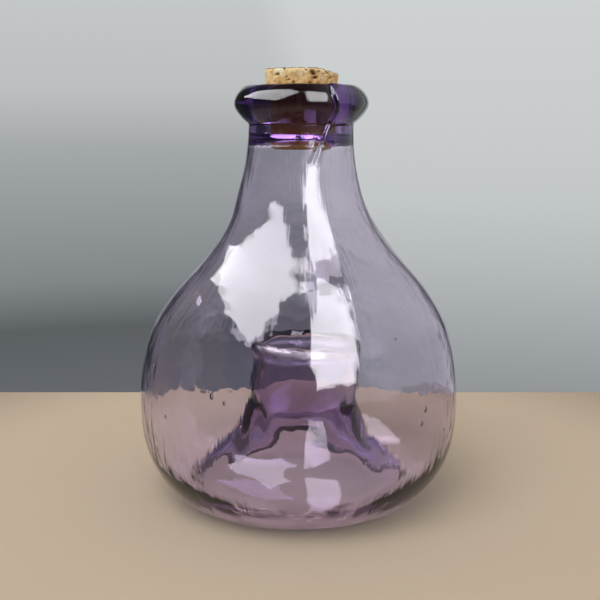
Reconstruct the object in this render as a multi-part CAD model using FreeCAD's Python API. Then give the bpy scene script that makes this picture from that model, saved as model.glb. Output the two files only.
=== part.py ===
"""Hand-blown glass fly trap: blown body, kicked-up chimney, applied lip and tapered cork.

Units are millimetres. +Z is up, and the origin is the centre of the ring that the bottle stands on.
Outlines are drawn in the XZ plane as (radius, height) points and turned about Z.
"""

import FreeCAD
import Part
import math
import os

# Overall sizes of the glass
BELLY_RADIUS = 67.1
BELLY_HEIGHT = 39.0
NECK_RADIUS = 21.5
NECK_BASE = 150.0
GLASS_HEIGHT = 169.5

# Flat ring at the bottom of the heel, worn by standing, and the gutter above it inside the bottle
REST_INNER = 44.6
REST_OUTER = 48.4
REST_CENTRE = (REST_INNER + REST_OUTER) / 2
HEEL_FLOOR = 3.2
GUTTER = (REST_CENTRE + 0.9, HEEL_FLOOR)

# Outline of the blown body from heel to neck, each point with the wall's thickness there
BODY_STATIONS = (
    ((0.851 * BELLY_RADIUS, 6.0), 3.4),
    ((0.967 * BELLY_RADIUS, 20.0), 2.1),
    ((BELLY_RADIUS, BELLY_HEIGHT), 1.8),
    ((0.897 * BELLY_RADIUS, 74.0), 1.8),
    ((0.671 * BELLY_RADIUS, 94.6), 1.8),
    ((1.470 * NECK_RADIUS, 112.0), 1.8),
    ((1.130 * NECK_RADIUS, 130.5), 1.8),
)
HEEL_DIRECTION = (1.0, 0.3)

# Bore of the neck, and the step under it where the wall turns thin
BORE_RADIUS = 14.7
BORE_BASE = 150.0
BORE_STEP = (18.3, 148.6)
BORE_END = (20.3, 145.4)

# Applied lip: a ribbon of glass wound round the neck's end, with a crease where its two ends lap
LIP_RADIUS = 27.2
LIP_BASE = 154.5
LIP_BEAD = (
    (NECK_RADIUS, LIP_BASE),
    (24.4, 157.0),
    (LIP_RADIUS, 161.9),
    (25.2, 167.0),
    (20.8, GLASS_HEIGHT),
)
LIP_UNDERSIDE = (1.0, 0.5)
LIP_TOP_DIRECTION = (-1.0, 0.0)
SPIGOT_RADIUS = 18.4
SPIGOT_TOP = 167.0
MOUTH_ROUNDING = 1.7
SEAM_AZIMUTH = -62.0
SEAM_ANGLE = 2.4
SEAM_CENTRE = (19.0, 161.6)
SEAM_FLOOR_RADIUS = 7.7
SEAM_REACH = 12.0

# Chimney: a thick straight tube that opens downwards into a bell, with an uneven sheared rim.
# The bell is the face inside the bottle, and the throat is the face of the way in from below
TUBE_RADIUS = 23.0
TUBE_BASE = 42.0
TUBE_TOP_RADIUS = 22.6
CHIMNEY_WALL = 4.2
CHIMNEY_HEIGHT = 65.2
BELL_STATIONS = (
    (TUBE_RADIUS, TUBE_BASE),
    (1.148 * TUBE_RADIUS, 29.5),
    (1.357 * TUBE_RADIUS, 21.0),
    (1.626 * TUBE_RADIUS, 15.8),
    (1.896 * TUBE_RADIUS, 9.0),
)
THROAT_STATIONS = (
    (TUBE_RADIUS - CHIMNEY_WALL, TUBE_BASE),
    (19.4, 32.0),
    (21.8, 23.5),
    (26.6, 16.6),
    (33.4, 11.6),
    (40.0, 6.0),
)
BELL_END_DIRECTION = (0.5, -1.0)
RIM_BLANK = 4.0
RIM_WAVES = ((1, 0.6, 200.0), (3, 0.45, 40.0), (5, 0.3, 110.0))
RIM_POINTS = 24
RIM_MARGIN = 4.0
RIM_ROUNDING = 1.7

# Tapered cork, pushed in until its tip of 6.3 mm stands above the lip
CORK_TOP_RADIUS = 15.1
CORK_BOTTOM_RADIUS = 11.9
CORK_LENGTH = 31.75
CORK_TOP = GLASS_HEIGHT + 6.3
CORK_BEVEL = 0.6

ORIGIN = FreeCAD.Vector(0, 0, 0)
Z_AXIS = FreeCAD.Vector(0, 0, 1)
UP = (0.0, 1.0)
DOWN = (0.0, -1.0)


def at(point):
    """A (radius, height) pair as a vector in the XZ plane."""
    radius, height = point
    return FreeCAD.Vector(radius, 0, height)


def line(start, end):
    return Part.LineSegment(at(start), at(end)).toShape()


def arc(start, middle, end):
    return Part.Arc(at(start), at(middle), at(end)).toShape()


def curve(points, start_direction, end_direction):
    """A smooth curve through the points that leaves the first and reaches the last in given directions."""
    spline = Part.BSplineCurve()
    spline.interpolate(
        Points=[at(point) for point in points],
        InitialTangent=at(start_direction).normalize(),
        FinalTangent=at(end_direction).normalize(),
        Scale=False,
    )
    return spline


def inset(outline, point, wall):
    """The point that lies a wall's thickness to the left of an outline, square to it at the given point."""
    along = outline.tangent(outline.parameter(at(point)))[0]
    return (point[0] - wall * along.z, point[1] + wall * along.x)


def turned(edges):
    """The solid that a closed outline sweeps in one turn about Z."""
    outline = Part.Wire(Part.__sortEdges__(edges))
    return Part.Face(outline).revolve(ORIGIN, Z_AXIS, 360)


def make_body():
    """Blown wall from the resting ring to the sheared end of the neck, open at the bottom and at the mouth."""
    stations = [point for point, wall in BODY_STATIONS]
    ring_edge = (REST_OUTER, 0.0)
    neck_base = (NECK_RADIUS, NECK_BASE)
    outside = curve([ring_edge, *stations, neck_base], HEEL_DIRECTION, UP)
    inner_points = [inset(outside, point, wall) for point, wall in BODY_STATIONS]
    inside = curve([GUTTER, *inner_points, BORE_END], HEEL_DIRECTION, UP)
    return turned([
        outside.toShape(),
        line(neck_base, (NECK_RADIUS, LIP_BASE)),
        line((NECK_RADIUS, LIP_BASE), (SPIGOT_RADIUS, LIP_BASE)),
        line((SPIGOT_RADIUS, LIP_BASE), (SPIGOT_RADIUS, SPIGOT_TOP)),
        line((SPIGOT_RADIUS, SPIGOT_TOP), (BORE_RADIUS, SPIGOT_TOP)),
        line((BORE_RADIUS, SPIGOT_TOP), (BORE_RADIUS, BORE_BASE)),
        arc((BORE_RADIUS, BORE_BASE), BORE_STEP, BORE_END),
        inside.toShape(),
        line(GUTTER, (REST_INNER, 0.0)),
        line((REST_INNER, 0.0), ring_edge),
    ])


def rim_ring(radius):
    """A closed wavy ring about Z, whose height is a sum of a few sine waves round the rim."""
    points = []
    for step in range(RIM_POINTS):
        angle = 2 * math.pi * step / RIM_POINTS
        height = CHIMNEY_HEIGHT
        for count, rise, phase in RIM_WAVES:
            height += rise * math.sin(count * angle + math.radians(phase))
        points.append(FreeCAD.Vector(radius * math.cos(angle), radius * math.sin(angle), height))
    ring = Part.BSplineCurve()
    ring.interpolate(Points=points, PeriodicFlag=True)
    return ring.toShape()


def make_chimney():
    """Bell and tube that rise from the resting ring, parted from the body along the foot of the gutter."""
    blank_top = CHIMNEY_HEIGHT + RIM_BLANK
    tube_top = (TUBE_TOP_RADIUS, blank_top)
    bell = curve([*BELL_STATIONS, GUTTER], DOWN, BELL_END_DIRECTION)
    throat = curve([*THROAT_STATIONS, (REST_INNER, 0.0)], DOWN, BELL_END_DIRECTION)
    passage_top = (TUBE_TOP_RADIUS - CHIMNEY_WALL, blank_top)
    blank = turned([
        line(tube_top, BELL_STATIONS[0]),
        bell.toShape(),
        line(GUTTER, (REST_INNER, 0.0)),
        throat.toShape(),
        line(THROAT_STATIONS[0], passage_top),
        line(passage_top, tube_top),
    ])
    inner_ring = rim_ring(TUBE_RADIUS - CHIMNEY_WALL - RIM_MARGIN)
    outer_ring = rim_ring(TUBE_RADIUS + RIM_MARGIN)
    shear = Part.makeRuledSurface(inner_ring, outer_ring).extrude(FreeCAD.Vector(0, 0, 2 * RIM_BLANK))
    sheared = blank.cut(shear)
    lowest_rim = CHIMNEY_HEIGHT - RIM_BLANK
    rim_edges = [edge for edge in sheared.Edges if edge.BoundBox.ZMin > lowest_rim and edge.isClosed()]
    return sheared.makeFillet(RIM_ROUNDING, rim_edges)


def make_lip():
    """Bead of the applied lip, rolled over the neck's end, with the lap seam cut as a shallow crease."""
    bead = curve(LIP_BEAD, LIP_UNDERSIDE, LIP_TOP_DIRECTION)
    bead_top = LIP_BEAD[-1]
    mouth_flat = (BORE_RADIUS + MOUTH_ROUNDING, GLASS_HEIGHT)
    mouth_edge = (BORE_RADIUS, GLASS_HEIGHT - MOUTH_ROUNDING)
    round_in = MOUTH_ROUNDING * (1 - math.sqrt(0.5))
    ring = turned([
        bead.toShape(),
        line(bead_top, mouth_flat),
        arc(mouth_flat, (BORE_RADIUS + round_in, GLASS_HEIGHT - round_in), mouth_edge),
        line(mouth_edge, (BORE_RADIUS, SPIGOT_TOP)),
        line((BORE_RADIUS, SPIGOT_TOP), (SPIGOT_RADIUS, SPIGOT_TOP)),
        line((SPIGOT_RADIUS, SPIGOT_TOP), (SPIGOT_RADIUS, LIP_BASE)),
        line((SPIGOT_RADIUS, LIP_BASE), LIP_BEAD[0]),
    ])
    return ring.cut(seam_crease())


def seam_crease():
    """A flat ring round a point inside the bead, stood along the axis and turned through a small angle."""
    facing = FreeCAD.Vector(0, 1, 0)
    reach = Part.Wire(Part.makeCircle(SEAM_REACH, at(SEAM_CENTRE), facing))
    crease_floor = Part.Wire(Part.makeCircle(SEAM_FLOOR_RADIUS, at(SEAM_CENTRE), facing))
    blade = Part.Face(reach).cut(Part.Face(crease_floor))
    blade.rotate(ORIGIN, Z_AXIS, SEAM_AZIMUTH - SEAM_ANGLE / 2)
    return blade.revolve(ORIGIN, Z_AXIS, SEAM_ANGLE)


def make_cork():
    """Tapered cork with its top and bottom edges lightly bevelled."""
    foot = FreeCAD.Vector(0, 0, CORK_TOP - CORK_LENGTH)
    cork = Part.makeCone(CORK_BOTTOM_RADIUS, CORK_TOP_RADIUS, CORK_LENGTH, foot, Z_AXIS)
    rims = [edge for edge in cork.Edges if edge.isClosed()]
    return cork.makeChamfer(CORK_BEVEL, rims)


def main():
    os.makedirs("parts", exist_ok=True)
    pieces = {
        "bottle_body": make_body(),
        "entry_chimney": make_chimney(),
        "applied_lip": make_lip(),
        "cork_stopper": make_cork(),
    }
    for name, shape in pieces.items():
        shape.exportStep(os.path.join("parts", name + ".step"))
        print(name, "valid", shape.isValid(), "solids", len(shape.Solids), "cm3", round(shape.Volume / 1000, 2))


main()
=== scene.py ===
"""Looks of a hand-blown fly-trap bottle: one vessel of amethyst glass and a natural cork, on a plain stage.

Lengths are written in millimetres and turned to metres by MM. Azimuth is measured about +Z from +X, so the
front of the bottle, towards the viewer, is at -90 degrees.
"""

import math

import bpy
import numpy as np
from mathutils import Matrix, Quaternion, Vector


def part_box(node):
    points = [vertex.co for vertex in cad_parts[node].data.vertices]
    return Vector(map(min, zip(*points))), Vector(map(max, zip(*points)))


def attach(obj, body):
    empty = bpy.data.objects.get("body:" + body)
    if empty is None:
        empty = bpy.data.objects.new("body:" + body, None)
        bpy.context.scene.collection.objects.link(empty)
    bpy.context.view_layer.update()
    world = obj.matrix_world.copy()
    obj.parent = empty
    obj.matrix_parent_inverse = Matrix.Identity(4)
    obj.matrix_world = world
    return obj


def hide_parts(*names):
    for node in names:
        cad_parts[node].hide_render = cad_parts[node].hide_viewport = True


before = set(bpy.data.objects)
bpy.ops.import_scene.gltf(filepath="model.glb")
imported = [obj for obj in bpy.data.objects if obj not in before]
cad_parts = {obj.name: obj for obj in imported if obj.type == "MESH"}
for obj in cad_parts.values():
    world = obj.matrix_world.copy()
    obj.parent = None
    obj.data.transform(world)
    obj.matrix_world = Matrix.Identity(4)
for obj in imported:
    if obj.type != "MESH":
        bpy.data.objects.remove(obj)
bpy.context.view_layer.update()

MM = 0.001
TURN = 2 * math.pi


# Sizes read from the frame, in millimetres

def node_box(node):
    """Lowest and highest corner of a node, in millimetres."""
    low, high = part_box(node)
    return np.array(low) / MM, np.array(high) / MM


body_low, body_high = node_box("bottle_body")
lip_low, lip_high = node_box("applied_lip")
chimney_high = node_box("entry_chimney")[1]
cork_low, cork_high = node_box("cork_stopper")

BELLY_RADIUS = (body_high[0] - body_low[0]) / 2
LIP_RADIUS = (lip_high[0] - lip_low[0]) / 2
LIP_BASE = lip_low[2]
GLASS_TOP = lip_high[2]
RIM_TOP = chimney_high[2]
CORK_BASE = cork_low[2]
CORK_TOP = cork_high[2]
CORK_TOP_RADIUS = (cork_high[0] - cork_low[0]) / 2

# Outline of the glass as (radius, height)
NECK_RADIUS = 21.5
NECK_BASE = 150.0
RING_INNER = 44.6
RING_OUTER = 48.4
GUTTER = (47.4, 3.2)
HEEL_DIRECTION = (1.0, 0.3)
BORE_RADIUS = 14.7
BORE_BASE = 150.0
BORE_STEP = (18.3, 148.6)
BORE_END = (20.3, 145.4)
MOUTH_ROUNDING = 1.7
TUBE_RADIUS = 23.0
TUBE_TOP_RADIUS = 22.6
TUBE_BASE = 42.0
CHIMNEY_WALL = 4.2
UP = (0.0, 1.0)
DOWN = (0.0, -1.0)

# Outline of the body from heel to neck, each point with the wall's thickness there
BODY_STATIONS = (
    ((0.851 * BELLY_RADIUS, 6.0), 3.4),
    ((0.967 * BELLY_RADIUS, 20.0), 2.1),
    ((BELLY_RADIUS, 39.0), 1.8),
    ((0.897 * BELLY_RADIUS, 74.0), 1.8),
    ((0.671 * BELLY_RADIUS, 94.6), 1.8),
    ((1.470 * NECK_RADIUS, 112.0), 1.8),
    ((1.130 * NECK_RADIUS, 130.5), 1.8),
)
LIP_STATIONS = (
    (NECK_RADIUS, LIP_BASE),
    (24.4, LIP_BASE + 2.5),
    (LIP_RADIUS, LIP_BASE + 7.4),
    (25.2, GLASS_TOP - 2.5),
    (20.8, GLASS_TOP),
)
LIP_UNDERSIDE = (1.0, 0.5)
LIP_TOP_DIRECTION = (-1.0, 0.0)
BELL_STATIONS = (
    (TUBE_RADIUS, TUBE_BASE),
    (1.148 * TUBE_RADIUS, 29.5),
    (1.357 * TUBE_RADIUS, 21.0),
    (1.626 * TUBE_RADIUS, 15.8),
    (1.896 * TUBE_RADIUS, 9.0),
)
THROAT_STATIONS = (
    (TUBE_RADIUS - CHIMNEY_WALL, TUBE_BASE),
    (19.4, 32.0),
    (21.8, 23.5),
    (26.6, 16.6),
    (33.4, 11.6),
    (40.0, 6.0),
)
BELL_END_DIRECTION = (0.5, -1.0)

# Section of the chimney's rim, as steps out from the tube and up from the height that the rim waves about
RIM_RISE = 1.6
RIM_HEIGHT = RIM_TOP - RIM_RISE
RIM_STATIONS = (
    (0.0, -7.0),
    (0.5, -4.4),
    (0.1, -3.0),
    (-1.9, -0.5),
    (-3.0, 0.0),
    (-4.1, -1.3),
    (-CHIMNEY_WALL, -4.0),
)


# Curves

def unit(direction):
    """The direction as a vector of length 1."""
    direction = np.array(direction, float)
    return direction / np.linalg.norm(direction)


def ease(value, low, high):
    """Runs smoothly from 0 at low to 1 at high: three squares less two cubes of the way between them."""
    t = np.clip((value - low) / (high - low), 0.0, 1.0)
    return t * t * (3 - 2 * t)


def bump(value, centre, width):
    """A bell-shaped hump of height 1: e to the power of minus the squared distance in widths."""
    return np.exp(-((value - centre) / width) ** 2)


class Spline:
    """A smooth curve through points: cubic pieces that share slope and curvature where they join.

    The parameter is the chord length from the first point. The slopes solve the usual three-term
    equations for equal curvature, with the two end slopes given as unit directions.
    """

    def __init__(self, points, start, end):
        self.points = np.array(points, float)
        steps = np.linalg.norm(np.diff(self.points, axis=0), axis=1)
        self.knots = np.concatenate([[0.0], np.cumsum(steps)])
        rises = np.diff(self.points, axis=0) / steps[:, None]
        count = len(self.points)
        system = np.eye(count)
        wanted = np.zeros((count, 2))
        wanted[0], wanted[-1] = unit(start), unit(end)
        for i in range(1, count - 1):
            before, after = steps[i - 1], steps[i]
            system[i, i - 1:i + 2] = after, 2 * (before + after), before
            wanted[i] = 3 * (after * rises[i - 1] + before * rises[i])
        self.slopes = np.linalg.solve(system, wanted)

    def sample(self, count):
        """Points at even chord lengths: each is a cubic Hermite blend of its piece's ends and slopes."""
        lengths = np.linspace(0.0, self.knots[-1], count)
        piece = np.clip(np.searchsorted(self.knots, lengths, side="right") - 1, 0, len(self.knots) - 2)
        step = (self.knots[piece + 1] - self.knots[piece])[:, None]
        t = (lengths[:, None] - self.knots[piece][:, None]) / step
        p0, p1 = self.points[piece], self.points[piece + 1]
        m0, m1 = self.slopes[piece] * step, self.slopes[piece + 1] * step
        return ((2 * t**3 - 3 * t**2 + 1) * p0 + (t**3 - 2 * t**2 + t) * m0
                + (3 * t**2 - 2 * t**3) * p1 + (t**3 - t**2) * m1)

    def inset(self, index, wall):
        """The point that lies a wall's thickness to the left of one of the curve's own points."""
        along = unit(self.slopes[index])
        return tuple(self.points[index] + wall * np.array([-along[1], along[0]]))


def arc(start, middle, end, count=60):
    """Points on the circle through three points: its centre is equally far from all of them."""
    start, middle, end = (np.array(point, float) for point in (start, middle, end))
    chords = 2 * np.array([middle - start, end - start])
    centre = np.linalg.solve(chords, [middle @ middle - start @ start, end @ end - start @ start])
    spokes = np.array([start, middle, end]) - centre
    corners = np.unwrap(np.arctan2(spokes[:, 1], spokes[:, 0]))
    angles = np.interp(np.linspace(0, 2, count), [0, 1, 2], corners)
    return centre + np.linalg.norm(spokes[0]) * np.column_stack([np.cos(angles), np.sin(angles)])


# Meshes

def add_piece(name, vertices, faces, material):
    """A smooth-shaded mesh object from vertices in millimetres and lists of vertex numbers."""
    mesh = bpy.data.meshes.new(name)
    mesh.from_pydata((vertices * MM).tolist(), [], faces)
    mesh.validate()
    mesh.polygons.foreach_set("use_smooth", [True] * len(mesh.polygons))
    mesh.materials.append(material)
    piece = bpy.data.objects.new(name, mesh)
    bpy.context.scene.collection.objects.link(piece)
    return piece


def add_attribute(piece, name, values):
    """A number for each of a piece's first vertices, and 0 for the rest, that its material can read."""
    padded = np.zeros(len(piece.data.vertices), np.float32)
    padded[:len(values)] = values
    piece.data.attributes.new(name, "FLOAT", "POINT").data.foreach_set("value", padded)


def ring_faces(rows, columns, close_rows):
    """Quads of a grid of vertices that is closed along its columns, and along its rows if asked."""
    row = np.arange(rows if close_rows else rows - 1)[:, None]
    column = np.arange(columns)[None, :]
    next_row, next_column = (row + 1) % rows, (column + 1) % columns
    corners = [row * columns + column, row * columns + next_column,
               next_row * columns + next_column, next_row * columns + column]
    return np.stack(np.broadcast_arrays(*corners), axis=-1).reshape(-1, 4)


def capped_faces(rows, columns):
    """Faces of a closed form: rings from bottom to top, then one vertex under and one over them all."""
    quads = ring_faces(rows, columns, close_rows=False).tolist()
    column = np.arange(columns)
    after = (column + 1) % columns
    foot, top = np.full(columns, rows * columns), np.full(columns, rows * columns + 1)
    last = (rows - 1) * columns
    quads += np.column_stack([foot, after, column]).tolist()
    quads += np.column_stack([top, last + column, last + after]).tolist()
    return quads


# Section of the glass

STEP = 0.08
CORNER_SOFTNESS = 0.35
GUTTER_SOFTNESS = 1.5
GUTTER_REACH = 5.0
WAVE_BLEND = 2.5
CHIMNEY_BLEND = 2.0
BEND_PER_STEP = 0.22
SPACING = (0.3, 2.0)
SPACING_BLEND = 1.2
SECTION_POINTS = 500


def smooth_loop(values, spread):
    """Values along a closed loop, each averaged with its neighbours by a bell curve of a spread in mm.

    The Fourier transform of the values is multiplied by that of the bell curve, and turned back.
    """
    frequency = np.fft.fftfreq(len(values), STEP)
    keep = np.exp(-2 * (math.pi * spread * frequency) ** 2)
    keep = keep.reshape(-1, *[1] * (values.ndim - 1))
    return np.fft.ifft(np.fft.fft(values, axis=0) * keep, axis=0).real


def body_outline():
    """Outer outline of the blown body, from the resting ring to the neck."""
    stations = [point for point, wall in BODY_STATIONS]
    return Spline([(RING_OUTER, 0.0), *stations, (NECK_RADIUS, NECK_BASE)], HEEL_DIRECTION, UP)


def section_pieces():
    """Runs of the glass section in order: points, two wave heights in mm, and share in the chimney.

    The first wave height changes sign between the two faces of a wall, so that both faces sway together.
    The second is for waves of the run's own, which make the wall thick and thin.
    """
    outside = body_outline()
    inner_points = [outside.inset(i + 1, wall) for i, (point, wall) in enumerate(BODY_STATIONS)]
    inside = Spline([GUTTER, *inner_points, BORE_END], HEEL_DIRECTION, UP)
    lip = Spline(LIP_STATIONS, LIP_UNDERSIDE, LIP_TOP_DIRECTION)
    mouth_flat = (BORE_RADIUS + MOUTH_ROUNDING, GLASS_TOP)
    mouth_edge = (BORE_RADIUS, GLASS_TOP - MOUTH_ROUNDING)
    round_in = MOUTH_ROUNDING * (1 - math.sqrt(0.5))
    mouth = arc(mouth_flat, (BORE_RADIUS + round_in, GLASS_TOP - round_in), mouth_edge)
    shoulder = arc((BORE_RADIUS, BORE_BASE), BORE_STEP, BORE_END)
    bell = Spline([*BELL_STATIONS, GUTTER], DOWN, BELL_END_DIRECTION)
    under = Spline([*THROAT_STATIONS, (RING_INNER, 0.0)], DOWN, BELL_END_DIRECTION)
    rim = Spline([(TUBE_TOP_RADIUS + out, RIM_HEIGHT + up) for out, up in RIM_STATIONS], UP, DOWN)
    ring = np.array([(RING_INNER, 0.0), (RING_OUTER, 0.0)])
    return (
        (outside.sample(900), 0.10, 0.02, 0.0),
        (lip.sample(300), 0.08, 0.02, 0.0),
        (mouth, 0.0, 0.02, 0.0),
        (shoulder, -0.08, 0.02, 0.0),
        (inside.sample(900)[::-1], -0.10, 0.02, 0.0),
        (bell.sample(400)[::-1], 0.10, 0.03, 1.0),
        (rim.sample(200), 0.0, 0.02, 1.0),
        (under.sample(400), -0.10, 0.09, 1.0),
        (ring, 0.0, 0.0, 1.0),
    )


def chord_lengths(points):
    """Length along a chain of points from its first one."""
    return np.concatenate([[0.0], np.cumsum(np.linalg.norm(np.diff(points, axis=0), axis=1))])


def glass_section():
    """The closed section as evenly strung points with rounded corners, thinned where it runs straight.

    The runs are strung together and cut into even steps. A bell curve rounds the corners, more so at the
    bottom of the gutter. Points are then kept at a spacing that follows the radius of the bend.
    """
    pieces = section_pieces()
    points = np.concatenate([run[0] for run in pieces] + [pieces[0][0][:1]])
    lengths = chord_lengths(points)
    count = int(lengths[-1] / STEP)
    even = np.arange(count) * lengths[-1] / count
    loop = np.column_stack([np.interp(even, lengths, points[:, 0]), np.interp(even, lengths, points[:, 1])])

    def strung(column, blend):
        """A value of the runs at each even step, blended where one run meets the next."""
        values = np.concatenate([np.full(len(run[0]), run[column]) for run in pieces])
        return smooth_loop(np.interp(even, lengths[:-1], values), blend)

    waves, own_waves, chimney = strung(1, WAVE_BLEND), strung(2, WAVE_BLEND), strung(3, CHIMNEY_BLEND)
    gutter_at = even[np.argmin(np.hypot(loop[:, 0] - GUTTER[0], loop[:, 1] - GUTTER[1]))]
    soft = bump(even, gutter_at, GUTTER_REACH)[:, None]
    loop = (1 - soft) * smooth_loop(loop, CORNER_SOFTNESS) + soft * smooth_loop(loop, GUTTER_SOFTNESS)
    slope = (np.roll(loop, -1, axis=0) - np.roll(loop, 1, axis=0)) / (2 * STEP)
    slope /= np.linalg.norm(slope, axis=1)[:, None]
    turn = np.linalg.norm(np.roll(slope, -1, axis=0) - np.roll(slope, 1, axis=0), axis=1) / (2 * STEP)
    spacing = np.clip(BEND_PER_STEP / np.maximum(turn, 1e-6), *SPACING)
    density = np.exp(smooth_loop(-np.log(spacing), SPACING_BLEND))
    filled = np.concatenate([[0.0], np.cumsum(density)])
    wanted = np.arange(SECTION_POINTS) * filled[-1] / SECTION_POINTS
    kept = np.interp(wanted, filled[:-1], even)

    def pick(values):
        """Values at the kept points."""
        return np.interp(kept, even, values)

    outward = np.column_stack([pick(slope[:, 1]), pick(-slope[:, 0])])
    outside_and_lip = np.concatenate([run[0] for run in pieces[:2]])
    return {
        "along": kept,
        "radius": pick(loop[:, 0])[:, None],
        "height": pick(loop[:, 1])[:, None],
        "outward": outward / np.linalg.norm(outward, axis=1)[:, None],
        "waves": pick(waves)[:, None],
        "own_waves": pick(own_waves)[:, None],
        "chimney": pick(chimney)[:, None],
        "lip_end": chord_lengths(outside_and_lip)[-1],
    }


# Vessel

ROUND_POINTS = 184
FINE_POINTS = 7201

# Slow waves: the first seed, and for each kind the range of turns round the glass and of lengths along it
WAVE_SEED = 7
WALL_WAVES = ((1, 11), (18.0, 70.0))
FACE_WAVES = ((0, 7), (14.0, 60.0))
RIM_RAGS = ((3, 13), (9.0, 30.0))
TUBE_CALM = 0.75
TUBE_CALM_HEIGHTS = (28.0, 44.0)

# Sideways drift of the axis, and the heights over which it comes
BASE_DRIFT = -0.6
SHOULDER_DRIFT = 1.9
SHOULDER_HEIGHT = 98.0
SHOULDER_REACH = 22.0
NECK_DRIFT = 1.2
NECK_DRIFT_HEIGHTS = (120.0, 160.0)
CHIMNEY_DRIFT = 3.2
CHIMNEY_DRIFT_HEIGHTS = (4.0, 62.0)

# Lap seam: its azimuth, the swing of its line, its crease, and the ribbon's end that stands proud beside it
SEAM = math.radians(-62.0)
SEAM_CROWDING = 4.5
SEAM_SPREAD = math.radians(11.0)
SEAM_SWING = math.radians(1.6)
SEAM_LENGTH = 15.0
SEAM_DISTANCE = 26.0
CREASE_DEPTH = 0.75
CREASE_WIDTH = 0.9
LAP_RISE = 0.35
LAP_COMES = (0.0, 1.4)
LAP_GOES = (3.0, 12.0)

# Tail of the seam on the neck: its turn in each millimetre down, and its lines, as side, rise and width
TAIL_HEIGHTS = (137.0, 142.0)
TAIL_TURN = math.radians(1.0)
TAIL_LINES = ((0.0, -0.45, 0.8), (1.5, 0.3, 1.0), (-1.8, 0.2, 1.2))
DROP_HEIGHT = 148.6
DROP_SIDE = 2.2
DROP_RISE = 0.5
DROP_TALL = 2.0
DROP_WIDE = 1.7

# Swells round the front of the body, as height and rise outwards, and how far each reaches up and down
SWELLS = (
    (78.0, -0.38),
    (86.0, -0.20),
    (94.0, 0.47),
    (102.0, 0.18),
    (110.0, 0.15),
    (118.0, -0.19),
    (126.0, -0.68),
)
SWELL_REACH = 6.0
SWELL_LEFT = np.radians((-168.0, -142.0))
SWELL_RIGHT = np.radians((-12.0, -38.0))

# Bulges in the wall: azimuth in degrees, height, distance from the axis, reach and rise
BULGES = (
    (-80.0, 97.0, 42.0, 6.5, 0.7),
    (-77.0, 107.5, 34.0, 3.0, 0.12),
    (-86.0, 103.0, 37.0, 2.5, 0.10),
)

# Chimney's rim: waves as turns, rise and phase in degrees, fold, corner, and ridges as height and rise
RIM_WAVES = ((1, 0.6, 200.0), (3, 0.45, 40.0), (5, 0.3, 110.0))
RIM_WAVES_BASE = 48.0
FOLD = math.radians(-112.0)
FOLD_SPREAD = 0.8
FOLD_MIDDLE = RIM_HEIGHT - 1.5
FOLD_REACH = 3.0
FOLD_RISE = 0.3
RAG_RISE = 0.2
FOLD_ALL_ROUND = 0.3
CORNER = math.radians(-172.0)
CORNER_SPREAD = 0.35
CORNER_MIDDLE = RIM_HEIGHT - 1.8
CORNER_REACH = 1.6
CORNER_RISE = 1.2
RIDGES = ((59.4, 0.16), (57.6, 0.12), (55.6, 0.10))
RIDGE_WIDTH = 0.6

# Torn band of the rim: where it starts and ends, its height and how far it sinks, and its reach up and down
TORN_START = (CORNER, CORNER + 0.5)
TORN_END = np.radians((-55.0, -85.0))
TORN_MIDDLE = RIM_HEIGHT - 1.4
TORN_SINK = 1.2
TORN_REACH = 2.2

# How far outwards a face has to look to count as the outer side
OUTER_SIDE = (0.1, 0.5)


def vessel_azimuths():
    """Azimuths round the glass, closer together about the seam: the inverse of a running sum of density."""
    fine = np.linspace(SEAM - math.pi, SEAM + math.pi, FINE_POINTS)
    density = 1 + SEAM_CROWDING * bump(fine, SEAM, SEAM_SPREAD)
    filled = np.concatenate([[0.0], np.cumsum((density[1:] + density[:-1]) / 2)])
    return np.interp(np.arange(ROUND_POINTS) * filled[-1] / ROUND_POINTS, filled, fine)


def rolling(along, azimuth, seed, turns, lengths, count=26):
    """Slow waves: a sum of cosines, each with its own turns round, length along and phase."""
    rng = np.random.default_rng(seed)
    turn = rng.integers(turns[0], turns[1] + 1, count)[:, None, None]
    length = rng.uniform(*lengths, count)[:, None, None] * rng.choice([-1, 1], count)[:, None, None]
    phase = rng.uniform(0, TURN, count)[:, None, None]
    waves = np.cos(turn * azimuth + TURN * along[None, :, None] / length + phase)
    return waves.sum(axis=0) * math.sqrt(2 / count)


def lean(height, chimney):
    """Sideways drift in mm: the body's axis sways with its height, and the chimney tips over to the right."""
    swayed = SHOULDER_DRIFT * bump(height, SHOULDER_HEIGHT, SHOULDER_REACH)
    body = BASE_DRIFT + swayed + NECK_DRIFT * ease(height, *NECK_DRIFT_HEIGHTS)
    tipped = BASE_DRIFT + CHIMNEY_DRIFT * ease(height, *CHIMNEY_DRIFT_HEIGHTS)
    return (1 - chimney) * body + chimney * tipped


def seam_relief(azimuth, height, outer):
    """Height of the lap seam on lip and neck, in mm.

    Across the lip, a narrow crease follows a slight S and the ribbon's end stands proud on its right.
    On the neck, the ribbon's tail runs down to the left as a crease with a raised edge, beside a drop.
    """
    on_lip = outer * ease(height, LIP_BASE - 1.5, LIP_BASE + 1.0)
    line = SEAM + SEAM_SWING * np.sin((height - LIP_BASE) / SEAM_LENGTH * TURN)
    across = (azimuth - line) * SEAM_DISTANCE
    proud = LAP_RISE * ease(across, *LAP_COMES) * (1 - ease(across, *LAP_GOES))
    lap = proud - CREASE_DEPTH * bump(across, 0.0, CREASE_WIDTH)
    on_neck = outer * ease(height, *TAIL_HEIGHTS) * (1 - ease(height, LIP_BASE - 1.0, LIP_BASE + 2.0))
    tail = SEAM - TAIL_TURN * (LIP_BASE + 1.0 - height)
    beside = (azimuth - tail) * NECK_RADIUS
    crease = sum(rise * bump(beside, side, width) for side, rise, width in TAIL_LINES)
    drop = bump(height, DROP_HEIGHT, DROP_TALL) * bump((azimuth - SEAM) * NECK_RADIUS, DROP_SIDE, DROP_WIDE)
    return on_lip * lap + on_neck * (crease + DROP_RISE * drop)


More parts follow.
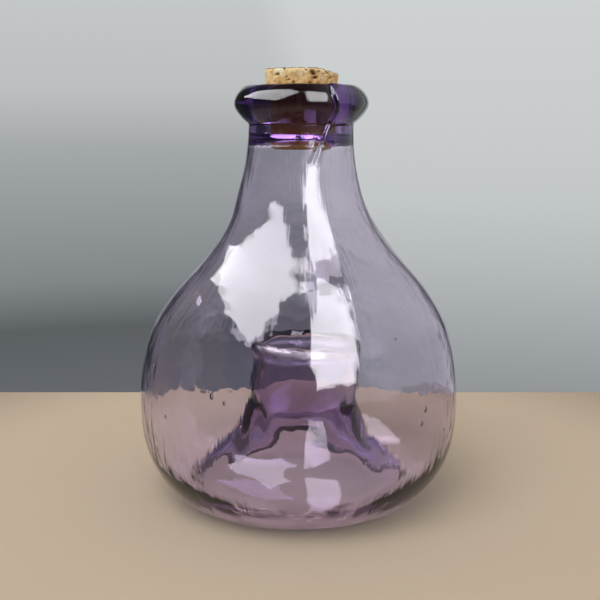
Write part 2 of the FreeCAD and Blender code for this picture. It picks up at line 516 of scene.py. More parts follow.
def wall_relief(section, azimuth, outer):
    """Unevenness of the blown wall in mm: waves of both its faces, waves of each alone, swells and bulges.

    The waves of a face alone die down on the straight tube of the chimney.
    """
    height, chimney = section["height"], section["chimney"]
    relief = section["waves"] * rolling(height[:, 0], azimuth, WAVE_SEED, *WALL_WAVES)
    own_waves = section["own_waves"] * (1 - TUBE_CALM * chimney * ease(height, *TUBE_CALM_HEIGHTS))
    relief += own_waves * rolling(section["along"], azimuth, WAVE_SEED + 1, *FACE_WAVES)
    front = ease(azimuth, *SWELL_LEFT) * ease(azimuth, *SWELL_RIGHT)
    for middle, rise in SWELLS:
        swell = rise * front * bump(height, middle, SWELL_REACH)
        relief += (1 - chimney) * swell * section["outward"][:, :1]
    for side, middle, distance, reach, rise in BULGES:
        apart = (azimuth - math.radians(side)) * distance
        relief += outer * rise * bump(apart, 0.0, reach) * bump(height, middle, reach)
    return relief


def rim_relief(section, azimuth):
    """Relief of the chimney's top in mm: a ragged fold, a filled corner, and ridges that wander round it."""
    height = section["height"]
    folded = FOLD_ALL_ROUND + (1 - FOLD_ALL_ROUND) * bump(azimuth, FOLD, FOLD_SPREAD)
    ragged = rolling(section["along"], azimuth, WAVE_SEED + 2, *RIM_RAGS)
    relief = bump(height, FOLD_MIDDLE, FOLD_REACH) * folded * (FOLD_RISE + RAG_RISE * ragged)
    corner = bump(azimuth, CORNER, CORNER_SPREAD) * bump(height, CORNER_MIDDLE, CORNER_REACH)
    relief += CORNER_RISE * corner * ease(section["outward"][:, :1], *OUTER_SIDE)
    for ridge, size in RIDGES:
        wandering = ridge + 0.5 * np.sin(2 * azimuth + ridge) + 0.2 * np.sin(7 * azimuth + 2 * ridge)
        relief += size * bump(height, wandering, RIDGE_WIDTH)
    return section["chimney"] * relief


def torn_edge(section, azimuth):
    """How torn the glass is, from 0 to 1: a band outside on the rim, at the front left, lower at the fold."""
    round_rim = ease(azimuth, *TORN_START) * ease(azimuth, *TORN_END)
    middle = TORN_MIDDLE - TORN_SINK * ease(azimuth, CORNER, FOLD)
    band = bump(section["height"], middle, TORN_REACH) * ease(section["outward"][:, :1], *OUTER_SIDE)
    return section["chimney"] * round_rim * band


def vessel_surface():
    """Vertices of the whole glass, how much of each is drawn out by blowing, and how torn each is.

    The section is turned about Z. The relief of wall, seam and rim moves a point along the section's
    outward direction. The rim also rises and falls with a few sine waves, and the axis leans.
    """
    section = glass_section()
    azimuth = vessel_azimuths()[None, :]
    height, chimney = section["height"], section["chimney"]
    outer = np.where(section["along"] < section["lip_end"], 1.0, 0.0)[:, None]
    relief = wall_relief(section, azimuth, outer) + seam_relief(azimuth, height, outer)
    relief += rim_relief(section, azimuth)
    radius = section["radius"] + section["outward"][:, :1] * relief
    level = height + section["outward"][:, 1:] * relief
    near_rim = chimney * ease(height, RIM_WAVES_BASE, RIM_HEIGHT)
    for count, rise, phase in RIM_WAVES:
        level = level + near_rim * rise * np.sin(count * azimuth + math.radians(phase))
    x = radius * np.cos(azimuth) + lean(height, chimney)
    y = radius * np.sin(azimuth)
    level = np.maximum(level, 0.0)
    torn = torn_edge(section, azimuth)
    x, y, level, drawn, torn = np.broadcast_arrays(x, y, level, 1 - chimney, torn)
    return np.stack([x, y, level], axis=-1).reshape(-1, 3), drawn.ravel(), torn.ravel()


# Seeds

# Seeds with a place of their own, as azimuth in degrees, height and size, and the count of small stray ones
PLACED_SEEDS = (
    (-119.3, 56.5, 0.85),
    (-114.4, 54.7, 0.60),
    (-43.2, 47.7, 0.80),
    (-45.5, 42.8, 0.70),
    (-140.0, 44.0, 0.60),
    (-31.0, 36.0, 0.55),
)
STRAY_SEEDS = 40
STRAY_HEIGHTS = (14.0, 118.0)
STRAY_SIZES = (0.16, 0.42)
SEED_AXES = (0.7, 1.0, 1.5)
SEED_DEPTH = 0.55
SEED_RINGS = 7
SEED_ROUND = 10


def seeds():
    """Bubbles in the wall: ellipsoids, longest upwards, at the middle of the wall, as rings and two poles.

    A ring at latitude t has radius cos t. Each bubble is stretched by its three half-axes, turned to
    face outwards at its azimuth and set on the wall's middle surface.
    """
    rng = np.random.default_rng(21)
    azimuth, height, size = np.array(PLACED_SEEDS).T
    azimuth = np.concatenate([np.radians(azimuth), rng.uniform(0, TURN, STRAY_SEEDS)])
    height = np.concatenate([height, rng.uniform(*STRAY_HEIGHTS, STRAY_SEEDS)])
    size = np.concatenate([size, rng.uniform(*STRAY_SIZES, STRAY_SEEDS)])
    outside = body_outline().sample(600)
    wall = np.interp(height, [p[1] for p, w in BODY_STATIONS], [w for p, w in BODY_STATIONS])
    middle = np.interp(height, outside[:, 1], outside[:, 0]) - SEED_DEPTH * wall
    latitude = (np.arange(1, SEED_RINGS + 1) / (SEED_RINGS + 1) - 0.5) * math.pi
    longitude = np.arange(SEED_ROUND) * TURN / SEED_ROUND
    ring = np.stack(np.broadcast_arrays(
        np.cos(latitude)[:, None] * np.cos(longitude), np.cos(latitude)[:, None] * np.sin(longitude),
        np.sin(latitude)[:, None]), axis=-1).reshape(-1, 3)
    ball = np.vstack([ring, [(0, 0, -1), (0, 0, 1)]])
    local = ball[None] * size[:, None, None] * np.array(SEED_AXES)
    cos, sin = np.cos(azimuth)[:, None], np.sin(azimuth)[:, None]
    out = middle[:, None] + local[:, :, 0]
    x = out * cos - local[:, :, 1] * sin + lean(height, 0.0)[:, None]
    y = out * sin + local[:, :, 1] * cos
    z = height[:, None] + local[:, :, 2]
    vertices = np.stack([x, y, z], axis=-1).reshape(-1, 3)
    inwards = [face[::-1] for face in capped_faces(SEED_RINGS, SEED_ROUND)]
    each = len(ball)
    return vertices, [[i + each * n for i in face] for n in range(len(size)) for face in inwards]


# Cork

CORK_ROUND = 200
CORK_SIDE_ROWS = 90
CORK_END_ROWS = 34
CORK_BASE_RADIUS = 11.9
CORK_EDGE = 0.7
CORK_LEAN = 0.7
PITS = 150
PIT_WIDTHS = (0.25, 1.1)
PIT_FLATNESS = (0.4, 0.9)
PIT_DEPTHS = (0.25, 0.9)

# Waves of the grain and of the nibbled edge: seed, turns round and lengths along
GRAIN_WAVES = (31, (3, 40), (2.0, 14.0))
GRAIN_RISE = 0.07
NIBBLE_WAVES = (32, (5, 60), (5.0, 9.0))
NIBBLE_FROM = 0.6
NIBBLE_DEPTH = 0.45
NIBBLE_REACH = 1.4
NIBBLE_DROP = 0.35
NIBBLE_RING = (11.0, 14.5)

# Wear of the top: how far it drops, from where to where on the right, and how far down it is felt
WORN_DROP = 2.0
WORN_SIDE = (5.0, 15.5)
WORN_REACH = 3.5


def cork_surface():
    """Vertices of the tapered cork from its foot to its top, its faces, and how pitted each vertex is.

    The section is a straight taper with small rounded edges. Pores sink into it as flat-bottomed hollows,
    wider than high. The edges are nibbled, and the top is worn down on the right.
    """
    rng = np.random.default_rng(5)
    side = np.array([(CORK_BASE_RADIUS, CORK_BASE), (CORK_TOP_RADIUS, CORK_TOP)])
    inner = np.linspace(0.02, 0.97, CORK_END_ROWS) ** 0.8
    foot = np.column_stack([inner * CORK_BASE_RADIUS, np.full(CORK_END_ROWS, CORK_BASE)])
    top = np.column_stack([inner[::-1] * CORK_TOP_RADIUS, np.full(CORK_END_ROWS, CORK_TOP)])
    run = np.linspace(0.0, 1.0, CORK_SIDE_ROWS)[:, None]
    wall = side[0] + run * (side[1] - side[0])
    from_edge = np.minimum(run, 1 - run)[:, 0] * (CORK_TOP - CORK_BASE)
    wall[:, 0] -= CORK_EDGE * np.exp(-from_edge / (0.6 * CORK_EDGE))
    section = np.vstack([foot, wall, top])
    on_wall = np.zeros((len(section), 1))
    on_wall[CORK_END_ROWS:-CORK_END_ROWS] = 1.0
    azimuth = (np.arange(CORK_ROUND) * TURN / CORK_ROUND)[None, :]
    radius = np.repeat(section[:, :1], CORK_ROUND, axis=1)
    height = np.repeat(section[:, 1:], CORK_ROUND, axis=1)

    def for_each_pit(low, high):
        """A random number for each pit."""
        return rng.uniform(low, high, PITS)[:, None, None]

    pit_azimuth = for_each_pit(0, TURN)
    pit_height = for_each_pit(CORK_BASE, CORK_TOP)
    pit_wide = for_each_pit(*PIT_WIDTHS)
    pit_high = pit_wide * for_each_pit(*PIT_FLATNESS)
    pit_deep = for_each_pit(*PIT_DEPTHS)
    apart = (azimuth - pit_azimuth + math.pi) % TURN - math.pi
    inside = np.exp(-(apart * CORK_TOP_RADIUS / pit_wide) ** 4 - ((height - pit_height) / pit_high) ** 4)
    pitted = on_wall * inside.max(axis=0)
    sunk = on_wall * (pit_deep * inside).max(axis=0)
    grain = rolling(section[:, 1], azimuth, *GRAIN_WAVES)
    upright = rolling(np.zeros(len(section)), azimuth, *NIBBLE_WAVES)
    nibble = np.clip(upright - NIBBLE_FROM, 0.0, 2.0)
    near_edge = 0.4 + 0.6 * ease(radius, 0.8 * CORK_TOP_RADIUS, CORK_TOP_RADIUS)
    nibbled = NIBBLE_DEPTH * bump(height, CORK_TOP, NIBBLE_REACH) * near_edge * nibble
    radius = radius - sunk + on_wall * (GRAIN_RISE * grain - nibbled)
    x = radius * np.cos(azimuth)
    y = radius * np.sin(azimuth)
    worn = WORN_DROP * ease(x, *WORN_SIDE) + NIBBLE_DROP * nibble * ease(radius, *NIBBLE_RING)
    level = height - ease(height, CORK_TOP - WORN_REACH, CORK_TOP) * worn
    ring = np.stack([x + CORK_LEAN, y, level], axis=-1).reshape(-1, 3)
    ends = [(CORK_LEAN, 0.0, CORK_BASE), (CORK_LEAN, 0.0, CORK_TOP)]
    dark = np.concatenate([pitted.ravel(), [0.0, 0.0]])
    return np.vstack([ring, ends]), capped_faces(len(section), CORK_ROUND), dark


# Materials

GLASS_TINT = "#b389ce"
TINT_DENSITY = 130.0

# Streaks, ripples, tears and draw marks in the skin of the glass, with the marks' width taken at the belly
STREAK_HEIGHT = 1.6
STREAK_LENGTH = 32.0
STREAKED_HEEL = (30.0, 8.0)
RIPPLE_SIZE = 7.0
TEAR_HEIGHT = 1.4
TEAR_LENGTH = 2.8
MARK_WIDTH = 3.05
MARK_LENGTH = 28.4

# Relief of the full streaks in millimetres, and how many times higher the marks, ripples and tears stand
SKIN_RELIEF = 0.03
MARK_TIMES = 2.0
RIPPLE_TIMES = (1.5, 5.5)
TEAR_TIMES = 25.0

BLOTCH_SIZE = 5.0
GRAIN_SIZE = 0.8
GRAIN_RELIEF = 0.25
CORK_TONES = ((0.34, "#d8ac74"), (0.50, "#ffe2ac"), (0.70, "#fff8d8"))
PORE_COLOUR = "#54361c"

# Painted shade on the cork, darkest where the lip's thick glass shades it, by the share of its height from
# the foot
CORK_PAINTED_SHADE = ((0.22, "#866450"), (0.45, "#4c2012"), (0.68, "#4c2012"), (0.83, "#ffeccc"), (0.98, "#ffffff"))


def linear(code):
    """A colour from an sRGB hex code: each channel is undone from the sRGB curve, with full opacity."""
    channels = np.array([int(code[i:i + 2], 16) for i in (1, 3, 5)]) / 255
    straight = np.where(channels <= 0.04045, channels / 12.92, ((channels + 0.055) / 1.055) ** 2.4)
    return (*straight.tolist(), 1.0)


def add_node(tree, kind, inputs=None, **settings):
    """Adds a node with its settings. Each input is a value, or another node's socket to link."""
    node = tree.nodes.new(kind)
    for name, value in settings.items():
        setattr(node, name, value)
    for name, value in (inputs or {}).items():
        if isinstance(value, bpy.types.NodeSocket):
            tree.links.new(value, node.inputs[name])
        else:
            node.inputs[name].default_value = value
    return node


def fill_ramp(ramp, stops):
    """Gives a colour ramp its stops: positions in rising order, with colour codes."""
    points = ramp.color_ramp.elements
    while len(points) < len(stops):
        points.new(0.5)
    for point, (position, code) in zip(points, stops):
        point.position, point.color = position, linear(code)


def new_material(name):
    """An empty node material and its tree."""
    material = bpy.data.materials.new(name)
    material.use_nodes = True
    material.node_tree.nodes.clear()
    return material, material.node_tree


def amethyst_glass():
    """Soda-lime glass cleared with manganese, blown and fire-polished, that sunlight has turned violet.

    The tint is in the glass itself, so thick places go deep purple and thin ones stay nearly clear. The skin
    is wet-smooth. It has faint level streaks from turning, strongest at the heel, soft ripples, and upright
    marks where blowing drew the glass out. The torn part of the chimney's rim flashes with a brighter gloss.
    """
    material, tree = new_material("sun_purpled_blown_glass")
    place = add_node(tree, "ShaderNodeTexCoord").outputs["Object"]
    streak_squeeze = STREAK_HEIGHT / STREAK_LENGTH
    streak_place = add_node(tree, "ShaderNodeMapping", {
        "Vector": place, "Scale": (streak_squeeze, streak_squeeze, 1.0)})
    streaks = add_node(tree, "ShaderNodeTexNoise", {
        "Vector": streak_place.outputs["Vector"], "Scale": 1 / (STREAK_HEIGHT * MM),
        "Detail": 2.0, "Roughness": 0.6})
    level = add_node(tree, "ShaderNodeSeparateXYZ", {"Vector": place})
    heel = add_node(tree, "ShaderNodeMapRange", {
        "Value": level.outputs["Z"], "From Min": STREAKED_HEEL[0] * MM, "From Max": STREAKED_HEEL[1] * MM,
        "To Min": 0.15, "To Max": 1.0})
    streak_height = add_node(tree, "ShaderNodeMath", {
        0: streaks.outputs["Fac"], 1: heel.outputs["Result"]}, operation="MULTIPLY")
    drawn = add_node(tree, "ShaderNodeAttribute", attribute_name="drawn").outputs["Fac"]
    flat = add_node(tree, "ShaderNodeVectorMath", {0: place, 1: (1.0, 1.0, 0.0)}, operation="MULTIPLY")
    outwards = add_node(tree, "ShaderNodeVectorMath", {0: flat.outputs["Vector"]}, operation="NORMALIZE")
    marks_per_radius = BELLY_RADIUS / MARK_WIDTH
    upwards = add_node(tree, "ShaderNodeVectorMath", {
        0: place, 1: (0.0, 0.0, 1 / (marks_per_radius * MARK_LENGTH * MM))}, operation="MULTIPLY")
    mark_place = add_node(tree, "ShaderNodeVectorMath", {
        0: outwards.outputs["Vector"], 1: upwards.outputs["Vector"]}, operation="ADD")
    draw_marks = add_node(tree, "ShaderNodeTexNoise", {
        "Vector": mark_place.outputs["Vector"], "Scale": marks_per_radius, "Detail": 2.0, "Roughness": 0.55})
    mark_height = add_node(tree, "ShaderNodeMath", {
        0: drawn, 1: draw_marks.outputs["Fac"]}, operation="MULTIPLY")
    marked = add_node(tree, "ShaderNodeMath", {
        0: mark_height.outputs["Value"], 1: MARK_TIMES, 2: streak_height.outputs["Value"]},
        operation="MULTIPLY_ADD")
    ripples = add_node(tree, "ShaderNodeTexNoise", {
        "Vector": place, "Scale": 1 / (RIPPLE_SIZE * MM), "Detail": 1.0, "Roughness": 0.4})
    ripple_height = add_node(tree, "ShaderNodeMapRange", {
        "Value": drawn, "To Min": RIPPLE_TIMES[0], "To Max": RIPPLE_TIMES[1]})
    rippled = add_node(tree, "ShaderNodeMath", {
        0: ripples.outputs["Fac"], 1: ripple_height.outputs["Result"], 2: marked.outputs["Value"]},
        operation="MULTIPLY_ADD")
    tear_squeeze = TEAR_HEIGHT / TEAR_LENGTH
    tear_place = add_node(tree, "ShaderNodeMapping", {
        "Vector": place, "Scale": (tear_squeeze, tear_squeeze, 1.0)})
    tears = add_node(tree, "ShaderNodeTexNoise", {
        "Vector": tear_place.outputs["Vector"], "Scale": 1 / (TEAR_HEIGHT * MM),
        "Detail": 3.0, "Roughness": 0.65})
    torn = add_node(tree, "ShaderNodeAttribute", attribute_name="torn")
    tear_height = add_node(tree, "ShaderNodeMath", {
        0: torn.outputs["Fac"], 1: tears.outputs["Fac"]}, operation="MULTIPLY")
    flashing = add_node(tree, "ShaderNodeMapRange", {
        "Value": tear_height.outputs["Value"], "From Min": 0.20, "From Max": 0.42})
    skin = add_node(tree, "ShaderNodeMath", {
        0: tear_height.outputs["Value"], 1: TEAR_TIMES, 2: rippled.outputs["Value"]},
        operation="MULTIPLY_ADD")
    relief = add_node(tree, "ShaderNodeBump", {
        "Height": skin.outputs["Value"], "Strength": 1.0, "Distance": SKIN_RELIEF * MM})
    glass = add_node(tree, "ShaderNodeBsdfPrincipled", {
        "Base Color": linear("#ffffff"), "Roughness": 0.0, "IOR": 1.51, "Transmission Weight": 1.0,
        "Coat Weight": flashing.outputs["Result"], "Coat Roughness": 0.35, "Coat IOR": 4.0,
        "Normal": relief.outputs["Normal"]})
    tint = add_node(tree, "ShaderNodeVolumeAbsorption", {
        "Color": linear(GLASS_TINT), "Density": TINT_DENSITY})
    add_node(tree, "ShaderNodeOutputMaterial", {
        "Surface": glass.outputs["BSDF"], "Volume": tint.outputs["Volume"]})
    return material


def natural_cork():
    """Bark cork, punched and sanded: a dry tan from cream to brown, with dark pores and fine grain.

    It has painted shade where it sits in the mouth, darkest inside the lip, and is paler again at its foot.
    """
    material, tree = new_material("natural_bark_cork")
    place = add_node(tree, "ShaderNodeTexCoord").outputs["Object"]
    blotches = add_node(tree, "ShaderNodeTexNoise", {
        "Vector": place, "Scale": 1 / (BLOTCH_SIZE * MM), "Detail": 4.0, "Roughness": 0.6})
    tone = add_node(tree, "ShaderNodeValToRGB", {"Fac": blotches.outputs["Fac"]})
    fill_ramp(tone, CORK_TONES)
    grain = add_node(tree, "ShaderNodeTexNoise", {
        "Vector": place, "Scale": 1 / (GRAIN_SIZE * MM), "Detail": 3.0, "Roughness": 0.7})
    speckle = add_node(tree, "ShaderNodeMapRange", {
        "Value": grain.outputs["Fac"], "From Min": 0.38, "From Max": 0.62, "To Min": 0.72, "To Max": 1.0})
    speckled = add_node(tree, "ShaderNodeMix", {
        "Factor": 1.0, 6: tone.outputs["Color"], 7: speckle.outputs["Result"]},
        data_type="RGBA", blend_type="MULTIPLY")
    level = add_node(tree, "ShaderNodeSeparateXYZ", {"Vector": place})
    height = add_node(tree, "ShaderNodeMapRange", {
        "Value": level.outputs["Z"], "From Min": CORK_BASE * MM, "From Max": CORK_TOP * MM})
    # Painted shade: the cork darkens where the glass of the neck and lip shades it
    painted_shade = add_node(tree, "ShaderNodeValToRGB", {"Fac": height.outputs["Result"]})
    fill_ramp(painted_shade, CORK_PAINTED_SHADE)
    painted_shaded = add_node(tree, "ShaderNodeMix", {
        "Factor": 1.0, 6: speckled.outputs[2], 7: painted_shade.outputs["Color"]},
        data_type="RGBA", blend_type="MULTIPLY")
    pores = add_node(tree, "ShaderNodeAttribute", attribute_name="pore")
    skin = add_node(tree, "ShaderNodeMix", {
        "Factor": pores.outputs["Fac"], 6: painted_shaded.outputs[2], 7: linear(PORE_COLOUR)}, data_type="RGBA")
    relief = add_node(tree, "ShaderNodeBump", {
        "Height": grain.outputs["Fac"], "Strength": 0.6, "Distance": GRAIN_RELIEF * MM})
    cork = add_node(tree, "ShaderNodeBsdfPrincipled", {
        "Base Color": skin.outputs[2], "Roughness": 0.85, "Specular IOR Level": 0.1,
        "Normal": relief.outputs["Normal"]})
    add_node(tree, "ShaderNodeOutputMaterial", {"Surface": cork.outputs["BSDF"]})
    return material


# Pieces

def signed_volume(vertices, quads):
    """Volume inside a closed quad mesh: a sixth of the sum of triple products of its triangles."""
    a, b, c, d = (vertices[quads[:, i]] for i in range(4))
    return (np.einsum("ij,ij->", a, np.cross(b, c)) + np.einsum("ij,ij->", a, np.cross(c, d))) / 6


vessel_points, vessel_drawn, vessel_torn = vessel_surface()
vessel_quads = ring_faces(SECTION_POINTS, ROUND_POINTS, close_rows=True)
if signed_volume(vessel_points, vessel_quads) < 0:
    vessel_quads = vessel_quads[:, ::-1]
seed_points, seed_faces = seeds()
seed_faces = [[i + len(vessel_points) for i in face] for face in seed_faces]
vessel = add_piece("glass_vessel", np.vstack([vessel_points, seed_points]),
                   vessel_quads.tolist() + seed_faces, amethyst_glass())
add_attribute(vessel, "drawn", vessel_drawn)
add_attribute(vessel, "torn", vessel_torn)
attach(vessel, "bottle")
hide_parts("bottle_body", "entry_chimney", "applied_lip")

cork_points, cork_faces, cork_dark = cork_surface()
cork = add_piece("cork", cork_points, cork_faces, natural_cork())
add_attribute(cork, "pore", cork_dark)
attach(cork, "cork")
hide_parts("cork_stopper")


# Stage

FLOOR_COLOUR = "#b2a18d"
FLOOR_PAINTED_SHADE = "#6e6356"
FLOOR_LEVEL = -0.15
FLOOR_BACK = 132.0
FLOOR_FRONT = -2500.0
FLOOR_SIDE = 2000.0

# Distances from the axis between which the floor's painted shade sets in and its painted ring of glow comes
# and goes
SHADE_SETS_IN = (140.0, 320.0)
RING_COMES = (32.0, 42.0)
RING_GOES = (78.0, 54.0)
RING_PAINTED_GLOW = 0.25

# Light of the room on matt surfaces, and on those that it reaches through several faces of glass
ROOM_LIGHT = (0.88, 0.88, 0.88, 1.0)
THROUGH_GLASS = (5.6, 7.6, 6.0, 1.0)
FACES_PASSED = (2.5, 6.0)

# Room round the wall and flags beside it: colours, and where each starts by a direction's part along X or Y
ROOM_LEFT = "#4c4e50"
ROOM_RIGHT = "#d4d6d8"
RIGHT_STARTS = (0.0, 0.7)
FLAG_COLOUR = "#26282a"
FLAG_STARTS = (0.36, 0.44)
WALL_STARTS = (0.78, 0.90)

# Greys of the wall, lit and shaded, by the sine of a direction's elevation, and the slanted edge of the shade
SHADE_STARTS = (0.03, -0.03)
SHADE_SLANT = 0.22
WALL_LOW = -0.3
WALL_HIGH = 0.2
LIT_WALL = (
    (-0.30, "#8e9293"),
    (-0.25, "#9b9fa2"),
    (-0.20, "#a9adaf"),
    (-0.15, "#b6babb"),
    (-0.087, "#c2c6c7"),
    (0.0, "#c9cccd"),
    (0.15, "#cfd2d3"),
)
SHADED_WALL = (
    (-0.30, "#666a6e"),
    (-0.22, "#5c6063"),
    (-0.17, "#818688"),
    (-0.087, "#979b9e"),
    (-0.032, "#a3a7a9"),
    (0.03, "#bcbfc0"),
    (0.15, "#c6c9ca"),
)


def floor_material():
    """Matt pale floor with a painted pool of light round the bottle, and painted shade farther out.

    Seen through glass, it shows a faint painted glow, by emission, in a ring where a thick heel would gather
    light.
    """
    material, tree = new_material("pale_floor")
    place = add_node(tree, "ShaderNodeTexCoord").outputs["Object"]
    distance = add_node(tree, "ShaderNodeVectorMath", {0: place}, operation="LENGTH").outputs["Value"]
    inner = add_node(tree, "ShaderNodeMapRange", {
        "Value": distance, "From Min": RING_COMES[0] * MM, "From Max": RING_COMES[1] * MM})
    outer = add_node(tree, "ShaderNodeMapRange", {
        "Value": distance, "From Min": RING_GOES[0] * MM, "From Max": RING_GOES[1] * MM})
    ring = add_node(tree, "ShaderNodeMath", {
        0: inner.outputs["Result"], 1: outer.outputs["Result"]}, operation="MULTIPLY")
    path = add_node(tree, "ShaderNodeLightPath")
    by_glass = add_node(tree, "ShaderNodeMath", {
        0: path.outputs["Is Transmission Ray"], 1: path.outputs["Is Glossy Ray"]}, operation="ADD")
    seen = add_node(tree, "ShaderNodeMath", {
        0: ring.outputs["Value"], 1: by_glass.outputs["Value"]}, operation="MULTIPLY")
    # Painted glow: where the floor is seen through glass, a ring of emission stands in for light that the
    # heel gathers
    painted_glow = add_node(tree, "ShaderNodeMath", {
        0: seen.outputs["Value"], 1: RING_PAINTED_GLOW}, operation="MULTIPLY")
    # Painted shade: the floor darkens farther from the bottle, leaving a painted pool of light round it
    farther = add_node(tree, "ShaderNodeMapRange", {
        "Value": distance, "From Min": SHADE_SETS_IN[0] * MM, "From Max": SHADE_SETS_IN[1] * MM},
        interpolation_type="SMOOTHSTEP")
    shaded = add_node(tree, "ShaderNodeMix", {
        "Factor": farther.outputs["Result"], 6: linear(FLOOR_COLOUR), 7: linear(FLOOR_PAINTED_SHADE)},
        data_type="RGBA")
    surface = add_node(tree, "ShaderNodeBsdfPrincipled", {
        "Base Color": shaded.outputs[2], "Roughness": 1.0, "Specular IOR Level": 0.0,
        "Emission Color": linear(FLOOR_COLOUR), "Emission Strength": painted_glow.outputs["Value"]})
    add_node(tree, "ShaderNodeOutputMaterial", {"Surface": surface.outputs["BSDF"]})
    return material


floor_corners = np.array([
    (-FLOOR_SIDE, FLOOR_FRONT, FLOOR_LEVEL),
    (FLOOR_SIDE, FLOOR_FRONT, FLOOR_LEVEL),
    (FLOOR_SIDE, FLOOR_BACK, FLOOR_LEVEL),
    (-FLOOR_SIDE, FLOOR_BACK, FLOOR_LEVEL),
])
floor = add_piece("floor", floor_corners, [(0, 1, 2, 3)], floor_material())


def surroundings():
    """Plain grey wall for what is seen, and an even white room for what lights matt surfaces.

    The wall behind the bottle brightens upwards. It is in soft shade on the left, and so is the room round
    it. Dark flags at both its sides give the edges of the glass their dark lines. Light on matt surfaces is
    stronger where it has passed several faces of glass, as if the bottle had gathered it.
    """
    world = bpy.data.worlds.new("plain_room")
    bpy.context.scene.world = world
    world.use_nodes = True
    tree = world.node_tree
    tree.nodes.clear()
    direction = add_node(tree, "ShaderNodeTexCoord").outputs["Generated"]
    parts = add_node(tree, "ShaderNodeSeparateXYZ", {"Vector": direction})
    x, y, z = (parts.outputs[axis] for axis in "XYZ")
    rise = add_node(tree, "ShaderNodeMapRange", {"Value": z, "From Min": WALL_LOW, "From Max": WALL_HIGH})
    lit = add_node(tree, "ShaderNodeValToRGB", {"Fac": rise.outputs["Result"]})
    shaded = add_node(tree, "ShaderNodeValToRGB", {"Fac": rise.outputs["Result"]})
    for ramp, greys in ((lit, LIT_WALL), (shaded, SHADED_WALL)):
        fill_ramp(ramp, [((sine - WALL_LOW) / (WALL_HIGH - WALL_LOW), grey) for sine, grey in greys])
    slanted = add_node(tree, "ShaderNodeMath", {0: z, 1: SHADE_SLANT, 2: x}, operation="MULTIPLY_ADD")
    leftwards = add_node(tree, "ShaderNodeMapRange", {
        "Value": slanted.outputs["Value"], "From Min": SHADE_STARTS[0], "From Max": SHADE_STARTS[1]},
        interpolation_type="SMOOTHSTEP")
    wall = add_node(tree, "ShaderNodeMix", {
        "Factor": leftwards.outputs["Result"], 6: lit.outputs["Color"], 7: shaded.outputs["Color"]},
        data_type="RGBA")
    aside = add_node(tree, "ShaderNodeMath", {0: x}, operation="ABSOLUTE")
    flagged = add_node(tree, "ShaderNodeMapRange", {
        "Value": aside.outputs["Value"], "From Min": FLAG_STARTS[0], "From Max": FLAG_STARTS[1]},
        interpolation_type="SMOOTHSTEP")
    backdrop = add_node(tree, "ShaderNodeMix", {
        "Factor": flagged.outputs["Result"], 6: wall.outputs[2], 7: linear(FLAG_COLOUR)}, data_type="RGBA")
    rightwards = add_node(tree, "ShaderNodeMapRange", {
        "Value": x, "From Min": RIGHT_STARTS[0], "From Max": RIGHT_STARTS[1]},
        interpolation_type="SMOOTHSTEP")
    sides = add_node(tree, "ShaderNodeMix", {
        "Factor": rightwards.outputs["Result"], 6: linear(ROOM_LEFT), 7: linear(ROOM_RIGHT)},
        data_type="RGBA")
    behind = add_node(tree, "ShaderNodeMapRange", {
        "Value": y, "From Min": WALL_STARTS[0], "From Max": WALL_STARTS[1]},
        interpolation_type="SMOOTHSTEP")
    seen = add_node(tree, "ShaderNodeMix", {
        "Factor": behind.outputs["Result"], 6: sides.outputs[2], 7: backdrop.outputs[2]}, data_type="RGBA")
    path = add_node(tree, "ShaderNodeLightPath")
    faces = add_node(tree, "ShaderNodeMath", {
        0: path.outputs["Is Transmission Ray"], 1: path.outputs["Transmission Depth"]},
        operation="MULTIPLY")
    several = add_node(tree, "ShaderNodeMapRange", {
        "Value": faces.outputs["Value"], "From Min": FACES_PASSED[0], "From Max": FACES_PASSED[1]})
    through = add_node(tree, "ShaderNodeMix", {
        "Factor": several.outputs["Result"], 6: ROOM_LIGHT, 7: THROUGH_GLASS},
        data_type="RGBA", clamp_factor=True)
    lighting = add_node(tree, "ShaderNodeMath", {
        0: path.outputs["Diffuse Depth"], 1: 0.5}, operation="GREATER_THAN")
    room = add_node(tree, "ShaderNodeMix", {
        "Factor": lighting.outputs["Value"], 6: seen.outputs[2], 7: through.outputs[2]}, data_type="RGBA")
    background = add_node(tree, "ShaderNodeBackground", {"Color": room.outputs[2], "Strength": 1.0})
    add_node(tree, "ShaderNodeOutputWorld", {"Surface": background.outputs["Background"]})


surroundings()


# Lamps, in metres

WINDOW_RADIANCE = 7.0
KEY_RADIANCE = 3.8


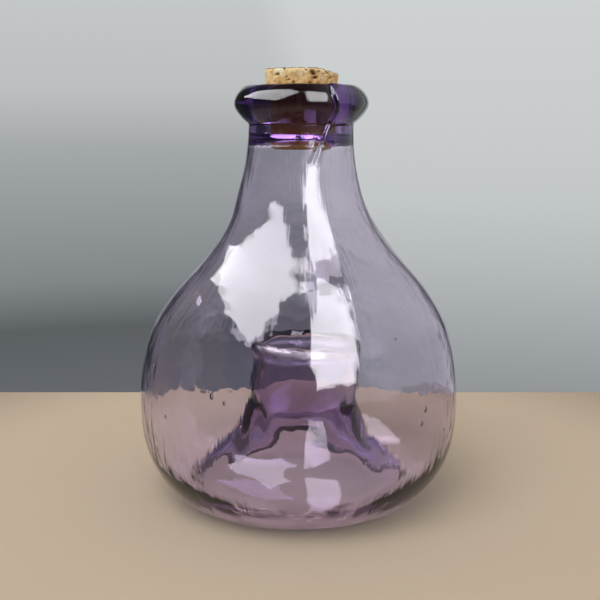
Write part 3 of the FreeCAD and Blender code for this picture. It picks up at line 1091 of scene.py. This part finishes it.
def panel(name, centre, facing, roll, width, height, radiance, matt, shiny):
    """A soft rectangular lamp of even brightness. Its power is radiance times area times pi."""
    lamp = bpy.data.lights.new(name, "AREA")
    lamp.shape = "RECTANGLE"
    lamp.size, lamp.size_y = width, height
    lamp.energy = radiance * width * height * math.pi
    holder = bpy.data.objects.new(name, lamp)
    bpy.context.scene.collection.objects.link(holder)
    holder.location = centre
    turned = Vector(facing).to_track_quat("-Z", "Y") @ Quaternion((0.0, 0.0, 1.0), roll)
    holder.rotation_euler = turned.to_euler()
    holder.visible_diffuse = matt
    holder.visible_glossy = shiny
    holder.visible_transmission = shiny
    lamp.use_nodes = True
    tree = lamp.node_tree
    tree.nodes.clear()
    path = add_node(tree, "ShaderNodeLightPath")
    direct = add_node(tree, "ShaderNodeMath", {
        0: path.outputs["Diffuse Depth"], 1: 0.5}, operation="LESS_THAN")
    glow = add_node(tree, "ShaderNodeEmission", {"Strength": direct.outputs["Value"] if shiny else 1.0})
    add_node(tree, "ShaderNodeOutputLight", {"Surface": glow.outputs["Emission"]})


panel("left_window", centre=(-0.357, -0.202, 1.385), facing=(0.797, 0.579, 0.172), roll=-0.304,
      width=0.888, height=2.19, radiance=WINDOW_RADIANCE, matt=False, shiny=True)
panel("right_window", centre=(0.882, -1.237, 1.340), facing=(0.114, 0.832, -0.543), roll=0.167,
      width=1.30, height=2.20, radiance=1.25 * WINDOW_RADIANCE, matt=False, shiny=True)
panel("key", centre=(-0.45, -0.55, 1.35), facing=(0.45, 0.55, -1.20), roll=0.0,
      width=0.9, height=0.9, radiance=KEY_RADIANCE, matt=True, shiny=False)


# Camera

CAMERA_LENS = 54.0
CAMERA_SENSOR = 36.0
CAMERA_DISTANCE = 373.0
CAMERA_HEIGHT = 155.8
CAMERA_TILT = 11.31

camera_data = bpy.data.cameras.new("camera")
camera_data.lens = CAMERA_LENS
camera_data.sensor_width = CAMERA_SENSOR
camera_data.clip_start = 0.01
camera = bpy.data.objects.new("camera", camera_data)
bpy.context.scene.collection.objects.link(camera)
camera.location = (0.0, -CAMERA_DISTANCE * MM, CAMERA_HEIGHT * MM)
camera.rotation_euler = (math.radians(90.0 - CAMERA_TILT), 0.0, 0.0)
bpy.context.scene.camera = camera
bpy.context.scene.view_settings.view_transform = "Standard"

# Light runs on inside thick glass until it finds its way out
bpy.context.scene.cycles.max_bounces = 32
bpy.context.scene.cycles.glossy_bounces = 24
bpy.context.scene.cycles.transmission_bounces = 24
